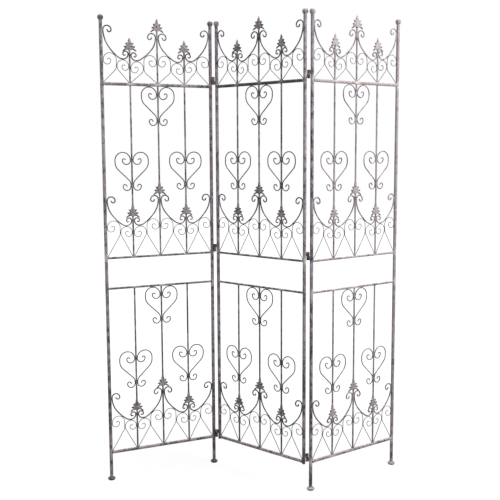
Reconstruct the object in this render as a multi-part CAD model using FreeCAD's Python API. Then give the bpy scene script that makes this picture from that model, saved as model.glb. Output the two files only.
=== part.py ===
import FreeCAD
import Part
import math
import os

# A folding garden screen: three panels of steel tube, bent rod, thin wire and cast leaves.
# Lengths are in millimetres and angles in degrees.
# A panel is laid out with x along it from its left post, y through it and z up from the floor.
# It is then turned to its heading and set at its place among the three.

Vector = FreeCAD.Vector
UP = Vector(0, 0, 1)
ALONG = Vector(1, 0, 0)

# Frame of a panel
panel_width = 438.0              # between the centre lines of its two posts
post_diameter = 13.0
post_wall = 1.2
end_rail_diameter = 12.0         # top and bottom rails
mid_rail_diameter = 8.5          # the two rails of the open band
bar_diameter = 6.5
leg_height = 112.0               # floor to the bottom rail's centre line
lower_lattice_height = 654.0     # bottom rail to lower mid rail
band_height = 119.0              # lower mid rail to upper mid rail
upper_lattice_height = 661.0     # upper mid rail to top rail
post_above_scroll = 35.0         # post's end above the place where the crest scroll meets it
post_stub = 2.0                  # middle panel's posts below their bottom rail

# Ball caps and feet
cap_diameter = 22.0
foot_diameter = 29.0
foot_sole_diameter = 17.0
foot_rim_lift = 6.5              # rim's lower edge above the floor
foot_rim = 2.5
foot_height = 15.0
foot_shoulder = 1.5              # foot's top beyond the post it carries
spigot_length = 14.0             # stem of a cap or foot inside the post
fit_clearance = 0.1              # between a spigot or bar and the hole it sits in
weld_gap = 0.05                  # between bent rods and what they are welded to

# Bent rods
rod_diameter = 5.0               # swags
heart_rod_diameter = 4.0         # scroll hearts
wire_diameter = 2.5              # wire hearts
scroll_radius = 15.5             # outer turn of a large scroll
scroll_tip_radius = 7.5          # inner turn of a large scroll
scroll_tip_turn = 190.0

# Swags, from a post or the centre bar down to a side bar
swag_low_radius = 35.0           # bend just before the lowest point
swag_rise_radius = 19.0          # bend that rises to the side bar
swag_tip_radius = 10.0           # small scroll under the side leaf
swag_tip_end_radius = 5.0
swag_tip_end_turn = 150.0
swag_steep = 1.5                 # upper slope, steeper than the straight line by this angle
swag_shallow = 16.5              # lower slope, flatter than the straight line by this angle

# Wire hearts, in halves beside each post and bar
wire_waist_radius = 22.0         # bend from the straight leg to the widest place
wire_waist_drop = 2.0            # widest place below the centre of the lower round top beside it
wire_bar_run = 3.0               # straight along the bar between the round top and the curl
wire_curl_share = 0.58           # first inner turn, as a share of the round top's radius
wire_curl_tip_share = 0.3        # last inner turn, likewise
wire_curl_tip_turn = 150.0
post_heart_extra = 4.0           # how far the post's half heart is wider than half a bay

# Scroll hearts, in halves beside each bar
heart_half_width = 66.0
heart_height = 100.0             # end of the low scroll to the round top's centre
heart_bar_run = 6.0              # straight along the bar above the low scroll
heart_shoulder = 8.0             # straight at the widest place
heart_neck_radius = 26.0
heart_belly_radius = 39.0
heart_curl_radius = 16.0
heart_curl_tip_radius = 6.0
heart_curl_tip_turn = 170.0
upper_heart_above_leaf = 70.5    # end of a side heart's low scroll above the leaf's tip
lower_heart_above_leaf = 64.5

# Heights of the repeated ornament above the rail that it stands on
lattice_swag_low = 123.0
lattice_post_scroll = 220.0
lattice_centre_scroll = 221.0
lattice_side_leaf_lift = -0.5    # leaf above the small scrolls under it
lattice_centre_leaf_lift = 0.5   # leaf above the scrolls at the centre bar
crest_swag_low = 94.0
crest_centre_swag_low = 89.0     # of the two swags beside the centre bar
crest_post_scroll = 199.0
crest_centre_scroll = 178.0
crest_side_leaf_lift = -2.0
crest_centre_leaf_lift = 3.0

# Cast leaves
leaf_height = 52.0
leaf_half_width = 26.5
leaf_thickness = 5.0
leaf_lobes = 3                   # pairs of pointed lobes under the tip
leaf_lobe_pitch = 15.5           # from one lobe's point up to the next
leaf_lobe_step = 5.5             # each lobe is shorter than the one below it
leaf_droop = 2.0                 # height of the lowest points
leaf_notch = 16.0                # lowest notch's distance from the middle
leaf_notch_step = 5.0
leaf_notch_rise = 13.0           # lowest notch above the lowest points
leaf_notch_pitch = 11.5
leaf_arch = 9.5                  # height of the hollow under the lowest lobes
leaf_arch_reach = 10.0           # hollow's highest place, from the middle
leaf_hub_wall = 1.9              # metal round the bar
leaf_hub_lip = 0.8               # metal round a bar that goes on above the leaf's tip
leaf_hub_base = 6.0
leaf_socket_top = 26.0           # end of the blind hole in a crest leaf
leaf_point_diameter = 3.0        # crest leaf's hub at its upper end
leaf_point_drop = 6.0            # hub's upper end below the leaf's tip

# Hinges between the panels
hinge_reach = 7.83               # hinge axis beyond the post's centre line, along the panel
fold_gap = 0.6                   # between the ball caps when the panels lie folded together
pin_diameter = 6.0
pin_running_clearance = 0.05
pin_proud = 0.6                  # pin's ends beyond the knuckles
knuckle_wall = 2.4
knuckle_height = 14.8
knuckle_gap = 0.4                # between the two knuckles of one hinge
knuckle_tab_width = 6.0
knuckle_tab_inset = 1.0
top_hinge_lift = 7.0             # hinge's lower end above the centre line of the rail beside it
mid_hinge_lift = 4.0
bottom_hinge_lift = 1.0

# How the screen stands
middle_heading = -41.0           # of the middle panel, from straight across
left_fold = 114.5                # angle between the left and middle panels
right_fold = 102.7               # angle between the middle and right panels

# Derived sizes
post_radius = post_diameter / 2
post_bore_radius = post_radius - post_wall
spigot_radius = post_bore_radius - fit_clearance
cap_radius = cap_diameter / 2
end_rail_radius = end_rail_diameter / 2
mid_rail_radius = mid_rail_diameter / 2
bar_radius = bar_diameter / 2
rod_radius = rod_diameter / 2
heart_rod_radius = heart_rod_diameter / 2
wire_radius = wire_diameter / 2
bottom_rail_z = leg_height
lower_mid_rail_z = bottom_rail_z + lower_lattice_height
upper_mid_rail_z = lower_mid_rail_z + band_height
top_rail_z = upper_mid_rail_z + upper_lattice_height
post_top = top_rail_z + crest_post_scroll + post_above_scroll
cap_seat_drop = math.sqrt(cap_radius ** 2 - post_radius ** 2)
bar_spacing = panel_width / 4
side_bars = (bar_spacing, 3 * bar_spacing)
centre_bar = 2 * bar_spacing
pin_radius = pin_diameter / 2
running_bore_radius = pin_radius + pin_running_clearance
knuckle_radius = running_bore_radius + knuckle_wall
hinge_offset = cap_radius + fold_gap / 2
hinge_height = 2 * knuckle_height + knuckle_gap
leaf_bore_radius = bar_radius + fit_clearance
leaf_hub_radius = leaf_bore_radius + leaf_hub_wall
rod_off_bar = bar_radius + weld_gap + rod_radius
heart_off_bar = bar_radius + weld_gap + heart_rod_radius
heart_crown = (heart_half_width - heart_off_bar) / 2


class BentRod:
    """A centre line in a panel's plane, of straight runs and arcs that meet without a corner.

    It is drawn to the right of an axis at x = 0, and becomes a rod on either side of a real one.
    """

    def __init__(self, x, z, heading):
        self.x = x
        self.z = z
        self.heading = heading
        self.pieces = []

    def run(self, length):
        """Go straight on."""
        start = (self.x, self.z)
        angle = math.radians(self.heading)
        self.x += length * math.cos(angle)
        self.z += length * math.sin(angle)
        self.pieces.append((start, None, (self.x, self.z)))

    def arc(self, radius, turn):
        """Bend to the left by a positive turn, or to the right by a negative one."""
        start = (self.x, self.z)
        to_centre = math.radians(self.heading + math.copysign(90, turn))
        centre_x = self.x + radius * math.cos(to_centre)
        centre_z = self.z + radius * math.sin(to_centre)

        def point(part):
            angle = to_centre + math.pi + math.radians(turn * part)
            return centre_x + radius * math.cos(angle), centre_z + radius * math.sin(angle)

        self.x, self.z = point(1.0)
        self.heading += turn
        self.pieces.append((start, point(0.5), (self.x, self.z)))

    def solid(self, axis, side, diameter):
        """The rod beside the axis at x = axis: side is 1 for its right and -1 for its left."""
        edges = []
        for piece in self.pieces:
            points = [Vector(axis + side * at[0], 0, at[1]) for at in piece if at]
            curve = Part.Arc(*points) if len(points) == 3 else Part.LineSegment(*points)
            edges.append(curve.toShape())
        start = edges[0].valueAt(edges[0].FirstParameter)
        direction = edges[0].tangentAt(edges[0].FirstParameter)
        section = Part.Wire(Part.Circle(start, direction, diameter / 2).toShape())
        return Part.Wire(edges).makePipeShell([section], True, False)


def rod_from_scroll(x, z, heading, curls):
    """A rod that begins in a scroll and leaves it at x, z. Curls are listed from there inwards."""
    inward = BentRod(x, z, heading + 180)
    for radius, turn in curls:
        inward.arc(radius, -turn)
    rod = BentRod(inward.x, inward.z, inward.heading + 180)
    for radius, turn in reversed(curls):
        rod.arc(radius, turn)
    return rod


def cylinder(radius, x, z, height, y=0.0):
    """An upright cylinder."""
    return Part.makeCylinder(radius, height, Vector(x, y, z), UP)


def rail_blank(radius, z):
    """A rail's round stock from one post's centre line to the other."""
    return Part.makeCylinder(radius, panel_width, Vector(0, 0, z), ALONG)


# Frame pieces

def post(x, bottom):
    """A tube post."""
    outside = cylinder(post_radius, x, bottom, post_top - bottom)
    return outside.cut(cylinder(post_bore_radius, x, bottom, post_top - bottom))


def rail(radius, z):
    """A rail whose ends are hollowed to sit against the posts."""
    solid = rail_blank(radius, z)
    for x in (0, panel_width):
        solid = solid.cut(cylinder(post_radius, x, z - 2 * radius, 4 * radius))
    return solid


def bar(x, low_z, low_radius, high_z, high_radius):
    """A bar between two rails, with its ends hollowed to sit against them."""
    solid = cylinder(bar_radius, x, low_z, high_z - low_z)
    return solid.cut(rail_blank(low_radius, low_z)).cut(rail_blank(high_radius, high_z))


def crest_bar(x, leaf_z):
    """A bar that stands on the top rail and ends inside a leaf."""
    end = leaf_z + leaf_socket_top
    solid = cylinder(bar_radius, x, top_rail_z, end - top_rail_z)
    return solid.cut(rail_blank(end_rail_radius, top_rail_z))


def ball_cap(x):
    """A ball with a flat seat on the post's end and a spigot in its bore."""
    seat = post_top
    ball = Part.makeSphere(cap_radius, Vector(x, 0, seat + cap_seat_drop))
    ball = ball.cut(cylinder(cap_radius, x, seat - cap_diameter, cap_diameter))
    return ball.fuse(cylinder(spigot_radius, x, seat - spigot_length, spigot_length))


def foot(x):
    """A bun foot under a post, with a spigot in its bore."""
    profile = (
        (0, 0),
        (foot_sole_diameter / 2, 0),
        (foot_diameter / 2, foot_rim_lift),
        (foot_diameter / 2, foot_rim_lift + foot_rim),
        (post_radius + foot_shoulder, foot_height),
        (spigot_radius, foot_height),
        (spigot_radius, foot_height + spigot_length),
        (0, foot_height + spigot_length),
        (0, 0),
    )
    outline = Part.makePolygon([Vector(x + radius, 0, z) for radius, z in profile])
    return Part.Face(outline).revolve(Vector(x, 0, 0), UP, 360)


# Ornament

class SwagLine:
    """The line of a swag from its scroll, at a post or the centre bar, down to its lowest point."""

    def __init__(self, seat_radius, scroll_z, low_z):
        self.near = seat_radius + weld_gap + rod_radius
        self.scroll_z = scroll_z
        self.low_z = low_z
        across = bar_spacing - rod_off_bar - swag_rise_radius - self.near
        drop = scroll_z - low_z
        chord = math.degrees(math.atan2(drop, across))
        self.steep = math.radians(chord + swag_steep)
        self.shallow = math.radians(chord - swag_shallow)
        # The upper bend and the long middle bend take up what the low bend leaves of the way
        upper_x = 1 - math.sin(self.steep)
        upper_z = math.cos(self.steep)
        long_x = math.sin(self.steep) - math.sin(self.shallow)
        long_z = math.cos(self.shallow) - math.cos(self.steep)
        left_x = across - swag_low_radius * math.sin(self.shallow)
        left_z = drop - swag_low_radius * (1 - math.cos(self.shallow))
        determinant = upper_x * long_z - long_x * upper_z
        self.upper_radius = (left_x * long_z - long_x * left_z) / determinant
        self.long_radius = (upper_x * left_z - upper_z * left_x) / determinant

    def rod(self, axis, side):
        """The whole swag, down to its small scroll at the side bar."""
        curls = [(scroll_radius, 180), (scroll_tip_radius, scroll_tip_turn)]
        rod = rod_from_scroll(self.near, self.scroll_z, -90, curls)
        rod.arc(self.upper_radius, 90 - math.degrees(self.steep))
        rod.arc(self.long_radius, math.degrees(self.steep - self.shallow))
        rod.arc(swag_low_radius, math.degrees(self.shallow))
        rod.arc(swag_rise_radius, 90)
        rod.arc(swag_tip_radius, 180)
        rod.arc(swag_tip_end_radius, swag_tip_end_turn)
        return rod.solid(axis, side, rod_diameter)

    def heart_top(self, seat_radius, reach):
        """Top of the half heart whose round top lies against the long bend from below."""
        beyond_upper = self.long_radius - self.upper_radius
        bend_x = self.near + self.upper_radius + beyond_upper * math.sin(self.steep)
        bend_z = self.scroll_z + beyond_upper * math.cos(self.steep)
        crown = wire_crown(seat_radius, reach)
        crown_x = wire_sides(seat_radius, reach)[0] + crown
        apart = self.long_radius + rod_radius + weld_gap + wire_radius + crown
        return bend_z - math.sqrt(apart ** 2 - (bend_x - crown_x) ** 2) + crown


def scroll_heart_half(axis, side, low_z):
    """Half of a scroll heart: a low scroll, a leg out from the bar and a round top curled inwards."""
    curls = [(scroll_radius, -180), (scroll_tip_radius, -scroll_tip_turn)]
    rod = rod_from_scroll(heart_off_bar, low_z, 90, curls)
    across = heart_half_width - heart_belly_radius - heart_off_bar - heart_neck_radius
    rise = heart_height - heart_bar_run - heart_shoulder
    bends = heart_neck_radius + heart_belly_radius
    leg = math.sqrt(across ** 2 + rise ** 2 - bends ** 2)
    slope = math.degrees(math.atan2(rise, across) - math.atan2(bends, leg))
    rod.run(heart_bar_run)
    rod.arc(heart_neck_radius, slope - 90)
    rod.run(leg)
    rod.arc(heart_belly_radius, 90 - slope)
    rod.run(heart_shoulder)
    rod.arc(heart_crown, 180)
    rod.arc(heart_curl_radius, 180)
    rod.arc(heart_curl_tip_radius, heart_curl_tip_turn)
    return rod.solid(axis, side, heart_rod_diameter)


def wire_sides(seat_radius, reach):
    """Where a half heart's wire lies against its post or bar, and where it meets the next half heart."""
    return seat_radius + weld_gap + wire_radius, reach - weld_gap / 2 - wire_radius


def wire_crown(seat_radius, reach):
    """Radius of a half heart's round top."""
    near, far = wire_sides(seat_radius, reach)
    return (far - near) / 2


def wire_heart_half(axis, side, seat_radius, reach, base, waist, top):
    """Half of a wire heart: a straight leg from a rail, a waist, a round top and a curl inside it."""
    near = wire_sides(seat_radius, reach)[0]
    crown = wire_crown(seat_radius, reach)
    start_z = base + wire_radius + weld_gap
    across = 2 * crown - wire_waist_radius
    rise = waist - start_z
    distance = math.hypot(across, rise)
    leg = math.sqrt(distance ** 2 - wire_waist_radius ** 2)
    slope = math.degrees(math.atan2(rise, across) - math.asin(wire_waist_radius / distance))
    rod = BentRod(near, start_z, slope)
    rod.run(leg)
    rod.arc(wire_waist_radius, 90 - slope)
    rod.run(top - crown - waist)
    rod.arc(crown, 180)
    rod.run(wire_bar_run)
    rod.arc(crown * wire_curl_share, 180)
    rod.arc(crown * wire_curl_tip_share, wire_curl_tip_turn)
    return rod.solid(axis, side, wire_diameter)


def swags(post_line, centre_line):
    """The four swags over one rail, from the left post to the right one."""
    return [
        post_line.rod(0, 1),
        centre_line.rod(centre_bar, -1),
        centre_line.rod(centre_bar, 1),
        post_line.rod(panel_width, -1),
    ]


def wire_hearts(base, post_line, centre_line):
    """The eight half hearts between one rail's upper side and the swags, which they touch."""
    half_bay = bar_spacing / 2
    narrow = half_bay - post_heart_extra
    wide = half_bay + post_heart_extra
    under_swag = rod_radius + weld_gap + wire_radius
    outer_top = post_line.low_z - under_swag
    inner_top = centre_line.low_z - under_swag
    outer_waist = outer_top - wire_crown(bar_radius, narrow) - wire_waist_drop
    inner_waist = inner_top - wire_crown(bar_radius, half_bay) - wire_waist_drop
    post_top_z = post_line.heart_top(post_radius, wide)
    centre_top_z = centre_line.heart_top(bar_radius, half_bay)
    solids = []
    for towards_centre, post_x, bar_x in ((1, 0, side_bars[0]), (-1, panel_width, side_bars[1])):
        for axis, side, seat_radius, reach, waist, top in (
            (post_x, towards_centre, post_radius, wide, outer_waist, post_top_z),
            (bar_x, -towards_centre, bar_radius, narrow, outer_waist, outer_top),
            (bar_x, towards_centre, bar_radius, half_bay, inner_waist, inner_top),
            (centre_bar, -towards_centre, bar_radius, half_bay, inner_waist, centre_top_z),
        ):
            solids.append(wire_heart_half(axis, side, seat_radius, reach, base, waist, top))
    return solids


def leaf_outline(x, z):
    """A leaf's outline: pointed lobes up both sides to a tip, and a hollow under the lowest pair."""
    right = [(bar_radius, leaf_hub_base), (leaf_arch_reach, leaf_arch)]
    for lobe in range(leaf_lobes):
        right.append((leaf_half_width - lobe * leaf_lobe_step, leaf_droop + lobe * leaf_lobe_pitch))
        notch_z = leaf_droop + leaf_notch_rise + lobe * leaf_notch_pitch
        right.append((leaf_notch - lobe * leaf_notch_step, notch_z))
    left = [(-across, up) for across, up in reversed(right)]
    points = right + [(0, leaf_height)] + left + right[:1]
    return Part.makePolygon([Vector(x + across, -leaf_thickness / 2, z + up) for across, up in points])


def leaf(x, z, tops_bar):
    """A cast leaf on a bar, which ends in it where it tops the bar and otherwise goes through it."""
    blade = Part.Face(leaf_outline(x, z)).extrude(Vector(0, leaf_thickness, 0))
    hub_z = z + leaf_hub_base
    hub_top = leaf_height - leaf_point_drop
    if tops_bar:
        hub = cylinder(leaf_hub_radius, x, hub_z, leaf_socket_top + leaf_hub_wall - leaf_hub_base)
        taper_z = leaf_socket_top + leaf_hub_wall
        point_radius = leaf_point_diameter / 2
        taper = Part.makeCone(leaf_hub_radius, point_radius, hub_top - taper_z, Vector(x, 0, z + taper_z), UP)
        hub = hub.fuse(taper)
        bore = cylinder(leaf_bore_radius, x, z - leaf_height, leaf_height + leaf_socket_top)
    else:
        lip_radius = leaf_bore_radius + leaf_hub_lip
        hub = Part.makeCone(leaf_hub_radius, lip_radius, leaf_height - leaf_hub_base, Vector(x, 0, hub_z), UP)
        bore = cylinder(leaf_bore_radius, x, z - leaf_height, 3 * leaf_height)
    return blade.fuse(hub).cut(bore)


def leaf_heights(rail_z, low, side_lift, centre_scroll, centre_lift):
    """Height of the leaf on each bar over one rail."""
    side_z = rail_z + low + swag_rise_radius + swag_tip_radius + side_lift
    centre_z = rail_z + centre_scroll + scroll_radius + centre_lift
    return {side_bars[0]: side_z, centre_bar: centre_z, side_bars[1]: side_z}


# Hinges

def hinge_bottoms():
    """Lower end of each hinge, and whether the middle panel has its upper knuckle."""
    return (
        (top_rail_z + top_hinge_lift, False),
        (upper_mid_rail_z + mid_hinge_lift, True),
        (bottom_rail_z + bottom_hinge_lift, True),
    )


def knuckle(post_x, away, y, z, bore_radius):
    """A knuckle beside a post with a tab welded to it. Away is 1 to the post's right, -1 to its left."""
    x = post_x + away * hinge_reach
    reach = math.hypot(hinge_reach, y)
    tab_height = knuckle_height - 2 * knuckle_tab_inset
    corner = Vector(0, -knuckle_tab_width / 2, 0)
    tab = Part.makeBox(reach, knuckle_tab_width, tab_height, corner)
    tab.rotate(Vector(0, 0, 0), UP, math.degrees(math.atan2(-y, post_x - x)))
    tab.translate(Vector(x, y, z + knuckle_tab_inset))
    solid = cylinder(knuckle_radius, x, z, knuckle_height, y).fuse(tab)
    solid = solid.cut(cylinder(post_radius, post_x, z - knuckle_height, 3 * knuckle_height))
    return solid.cut(cylinder(bore_radius, x, z - knuckle_height, 3 * knuckle_height, y))


def knuckles(post_x, away, y, on_middle_panel):
    """The three knuckles that one post carries."""
    bore_radius = pin_radius if on_middle_panel else running_bore_radius
    solids = []
    for bottom, middle_is_upper in hinge_bottoms():
        lift = knuckle_height + knuckle_gap if middle_is_upper == on_middle_panel else 0
        solids.append(knuckle(post_x, away, y, bottom + lift, bore_radius))
    return solids


def hinge_pins(post_x, away, y):
    """The three pins that the middle panel's knuckles hold."""
    x = post_x + away * hinge_reach
    length = hinge_height + 2 * pin_proud
    return [cylinder(pin_radius, x, bottom - pin_proud, length, y) for bottom, _ in hinge_bottoms()]


# Panels

def panel_pieces(has_feet):
    """Every piece of one panel but its hinges, as lists of solids by name."""
    post_bottom = foot_height if has_feet else bottom_rail_z - end_rail_radius - post_stub
    posts = (0, panel_width)
    bars = (side_bars[0], centre_bar, side_bars[1])
    lattice = ((upper_mid_rail_z, mid_rail_radius, top_rail_z, end_rail_radius, upper_heart_above_leaf),
               (bottom_rail_z, end_rail_radius, lower_mid_rail_z, mid_rail_radius, lower_heart_above_leaf))
    crest_leaf_z = leaf_heights(top_rail_z, crest_swag_low, crest_side_leaf_lift, crest_centre_scroll,
                                crest_centre_leaf_lift)
    post_line = SwagLine(post_radius, top_rail_z + crest_post_scroll, top_rail_z + crest_swag_low)
    centre_line = SwagLine(bar_radius, top_rail_z + crest_centre_scroll, top_rail_z + crest_centre_swag_low)
    pieces = {
        "left_post": [post(0, post_bottom)],
        "right_post": [post(panel_width, post_bottom)],
        "ball_caps": [ball_cap(x) for x in posts],
        "top_rail": [rail(end_rail_radius, top_rail_z)],
        "bottom_rail": [rail(end_rail_radius, bottom_rail_z)],
        "mid_rails": [rail(mid_rail_radius, z) for z in (lower_mid_rail_z, upper_mid_rail_z)],
        "crest_bars": [crest_bar(x, crest_leaf_z[x]) for x in bars],
        "crest_swags": swags(post_line, centre_line),
        "crest_wire_hearts": wire_hearts(top_rail_z + end_rail_radius, post_line, centre_line),
        "scroll_hearts": [],
        "leaves": [leaf(x, crest_leaf_z[x], True) for x in bars],
    }
    for name, (low_z, low_radius, high_z, high_radius, above_leaf) in zip(("upper", "lower"), lattice):
        leaf_z = leaf_heights(low_z, lattice_swag_low, lattice_side_leaf_lift, lattice_centre_scroll,
                              lattice_centre_leaf_lift)
        heart_top = high_z - high_radius - heart_rod_radius - weld_gap
        side_heart_z = leaf_z[side_bars[0]] + leaf_height + above_leaf
        heart_z = dict.fromkeys(side_bars, side_heart_z)
        heart_z[centre_bar] = heart_top - heart_crown - heart_height
        pieces[name + "_bars"] = [bar(x, low_z, low_radius, high_z, high_radius) for x in bars]
        post_line = SwagLine(post_radius, low_z + lattice_post_scroll, low_z + lattice_swag_low)
        centre_line = SwagLine(bar_radius, low_z + lattice_centre_scroll, low_z + lattice_swag_low)
        pieces[name + "_swags"] = swags(post_line, centre_line)
        pieces[name + "_wire_hearts"] = wire_hearts(low_z + low_radius, post_line, centre_line)
        for x in bars:
            pieces["leaves"].append(leaf(x, leaf_z[x], False))
            for side in (-1, 1):
                pieces["scroll_hearts"].append(scroll_heart_half(x, side, heart_z[x]))
    if has_feet:
        pieces["feet"] = [foot(x) for x in posts]
    return pieces


def turned(x, y, heading):
    """A point of a panel laid straight across, after the panel is turned to its heading."""
    return FreeCAD.Rotation(UP, heading).multVec(Vector(x, y, 0))


def panel_places():
    """Heading and left post's foot of each panel, with the four feet centred on the origin."""
    left_heading = middle_heading + 180 - left_fold
    right_heading = middle_heading + 180 - right_fold
    beyond = panel_width + hinge_reach
    # The left hinge lies in front of its panels and the right one behind them
    left_hinge = Vector(0, 0, 0)
    middle_post = left_hinge - turned(-hinge_reach, -hinge_offset, middle_heading)
    left_post = left_hinge - turned(beyond, -hinge_offset, left_heading)
    right_hinge = middle_post + turned(beyond, hinge_offset, middle_heading)
    right_post = right_hinge - turned(-hinge_reach, hinge_offset, right_heading)
    feet = [left_post, left_post + turned(panel_width, 0, left_heading)]
    feet += [right_post, right_post + turned(panel_width, 0, right_heading)]
    centre_x = (min(at.x for at in feet) + max(at.x for at in feet)) / 2
    centre_y = (min(at.y for at in feet) + max(at.y for at in feet)) / 2
    centre = Vector(centre_x, centre_y, 0)
    places = {
        "left": FreeCAD.Placement(left_post - centre, FreeCAD.Rotation(UP, left_heading)),
        "middle": FreeCAD.Placement(middle_post - centre, FreeCAD.Rotation(UP, middle_heading)),
        "right": FreeCAD.Placement(right_post - centre, FreeCAD.Rotation(UP, right_heading)),
    }
    return places, left_hinge - centre, right_hinge - centre


def screen():
    """Every node of the screen, in place."""
    places = panel_places()[0]
    with_feet = panel_pieces(True)
    without_feet = panel_pieces(False)
    nodes = {}
    for panel, pieces in (("left", with_feet), ("middle", without_feet), ("right", with_feet)):
        for name, solids in pieces.items():
            nodes[panel + "_panel_" + name] = (panel, solids)
    front = -hinge_offset
    back = hinge_offset
    nodes["left_hinge_outer_knuckles"] = ("left", knuckles(panel_width, 1, front, False))
    nodes["left_hinge_middle_knuckles"] = ("middle", knuckles(0, -1, front, True))
    nodes["left_hinge_pins"] = ("middle", hinge_pins(0, -1, front))
    nodes["right_hinge_outer_knuckles"] = ("right", knuckles(0, -1, back, False))
    nodes["right_hinge_middle_knuckles"] = ("middle", knuckles(panel_width, 1, back, True))
    nodes["right_hinge_pins"] = ("middle", hinge_pins(panel_width, 1, back))
    placed = {}
    for name, (panel, solids) in nodes.items():
        shape = Part.makeCompound(solids)
        shape.Placement = places[panel]
        placed[name] = shape
    return placed


os.makedirs("parts", exist_ok=True)
for node, shape in screen().items():
    shape.exportStep(os.path.join("parts", node + ".step"))
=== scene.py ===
"""Dresses the folding garden screen: aged paint, cast leaves, turned caps and feet, welds and a plain studio."""

import math

import bmesh
import bpy
from mathutils import Matrix, Vector, noise


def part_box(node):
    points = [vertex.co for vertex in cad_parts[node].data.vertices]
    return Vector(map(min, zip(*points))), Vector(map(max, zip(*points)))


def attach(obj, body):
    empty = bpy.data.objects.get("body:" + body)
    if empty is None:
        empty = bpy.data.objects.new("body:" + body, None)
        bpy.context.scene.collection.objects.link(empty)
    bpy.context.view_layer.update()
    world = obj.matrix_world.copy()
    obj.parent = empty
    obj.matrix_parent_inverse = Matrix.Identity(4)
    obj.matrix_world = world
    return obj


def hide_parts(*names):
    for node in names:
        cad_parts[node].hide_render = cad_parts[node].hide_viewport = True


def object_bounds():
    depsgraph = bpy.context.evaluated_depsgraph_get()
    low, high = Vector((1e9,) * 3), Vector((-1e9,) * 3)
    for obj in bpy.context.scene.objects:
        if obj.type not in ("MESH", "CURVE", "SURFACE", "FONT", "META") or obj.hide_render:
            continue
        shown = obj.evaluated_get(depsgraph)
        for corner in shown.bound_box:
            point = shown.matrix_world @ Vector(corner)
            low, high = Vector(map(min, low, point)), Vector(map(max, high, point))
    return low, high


bl_info = {
    "name": "Folding garden screen",
    "version": (1, 0, 0),
    "blender": (4, 5, 0),
    "location": "3D View > Sidebar > Garden Screen",
    "description": "Aged paint, cast leaves, caps, feet and welds for a folding screen of three panels",
    "category": "Object",
}

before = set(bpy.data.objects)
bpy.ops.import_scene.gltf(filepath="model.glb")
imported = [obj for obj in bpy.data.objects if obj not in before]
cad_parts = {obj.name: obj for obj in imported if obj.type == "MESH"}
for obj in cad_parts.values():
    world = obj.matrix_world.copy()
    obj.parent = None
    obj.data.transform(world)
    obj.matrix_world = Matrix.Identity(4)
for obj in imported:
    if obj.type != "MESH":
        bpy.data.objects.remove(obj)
cad_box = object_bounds()

MM = 0.001
PANELS = ("left", "middle", "right")
ROWS = ("crest", "upper", "lower")


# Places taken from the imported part

def middle_of(node):
    low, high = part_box(node)
    return (low + high) / 2


def half_height(node):
    low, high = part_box(node)
    return (high.z - low.z) / 2


def panel_matrix(panel):
    """Turns a panel's own frame, x along it from its left post, y to its back, into the row frame."""
    start = middle_of(f"{panel}_panel_left_post")
    end = middle_of(f"{panel}_panel_right_post")
    turn = math.atan2(end.y - start.y, end.x - start.x)
    return Matrix.Translation((start.x, start.y, 0)) @ Matrix.Rotation(turn, 4, "Z")


def panel_width():
    start = middle_of("left_panel_left_post")
    end = middle_of("left_panel_right_post")
    return (end - start).xy.length


WIDTH = panel_width()
BARS = (WIDTH / 4, WIDTH / 2, 3 * WIDTH / 4)
TOP_RAIL = middle_of("left_panel_top_rail").z
BOTTOM_RAIL = middle_of("left_panel_bottom_rail").z
END_RAIL_RADIUS = half_height("left_panel_top_rail")
MID_RAIL_RADIUS = 4.25 * MM
LOWER_MID_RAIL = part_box("left_panel_mid_rails")[0].z + MID_RAIL_RADIUS
UPPER_MID_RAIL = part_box("left_panel_mid_rails")[1].z - MID_RAIL_RADIUS
BAR_RADIUS = 3.25 * MM
ROD_RADIUS = 2.5 * MM
HEART_ROD_RADIUS = 2.0 * MM
WIRE_RADIUS = 1.25 * MM
POST_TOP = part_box("left_panel_left_post")[1].z
FOOT_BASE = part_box("left_panel_feet")[0].z
SPIGOT_RADIUS = 5.1 * MM
SPIGOT_CHAMFER = 0.6 * MM

# Height of each leaf's base over the rail below it: side bar, centre bar, side bar
LEAF_RISES = {
    "crest": (121 * MM, 196.5 * MM, 121 * MM),
    "upper": (151.5 * MM, 237 * MM, 151.5 * MM),
    "lower": (151.5 * MM, 237 * MM, 151.5 * MM),
}
RAIL_UNDER = {"crest": TOP_RAIL, "upper": UPPER_MID_RAIL, "lower": BOTTOM_RAIL}
RAIL_UNDER_RADIUS = {"crest": END_RAIL_RADIUS, "upper": MID_RAIL_RADIUS, "lower": END_RAIL_RADIUS}
RAIL_OVER = {"upper": (TOP_RAIL, END_RAIL_RADIUS), "lower": (LOWER_MID_RAIL, MID_RAIL_RADIUS)}

# Where rods meet in the left half of a panel, in mm along it and over the rail
SWAG_TO_UPRIGHT = {
    "crest": ((6.5, 199), (106.25, 113), (112.75, 108), (215.75, 178)),
    "lattice": ((6.5, 220), (106.25, 142), (112.75, 142), (215.75, 221)),
}
WIRE_TO_UPRIGHT = {
    "crest": ((6.5, 88.3), (106.25, 66.1), (112.75, 59.1), (215.75, 84.6)),
    "lattice": ((6.5, 116.6), (106.25, 95.1), (112.75, 93.1), (215.75, 119.8)),
}
WIRE_TO_SWAG = {
    "crest": ((51.2, 109), (83.9, 92.1), (136.8, 87.1), (174.6, 107.6)),
    "lattice": ((50.6, 137.9), (83.9, 121.1), (136.5, 121.1), (171.6, 140.4)),
}
WIRE_TO_WIRE = {
    "crest": ((58.75, 66.6), (164.2, 59.6)),
    "lattice": ((58.75, 95.6), (164.2, 93.6)),
}
WIRE_FEET = (7.8, 105, 114, 214.5)
HEART_TO_SIDE_BAR = {"upper": (277.5, 374), "lower": (271.5, 368)}
HEART_UNDER_RAIL = (129, 32.4)
HEART_TOP = 181.3


def srgb(code):
    """Linear colour of a hexadecimal code."""
    channels = [int(code[i:i + 2], 16) / 255 for i in (0, 2, 4)]
    return tuple(c / 12.92 if c <= 0.04045 else ((c + 0.055) / 1.055) ** 2.4 for c in channels)


# Properties

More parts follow.
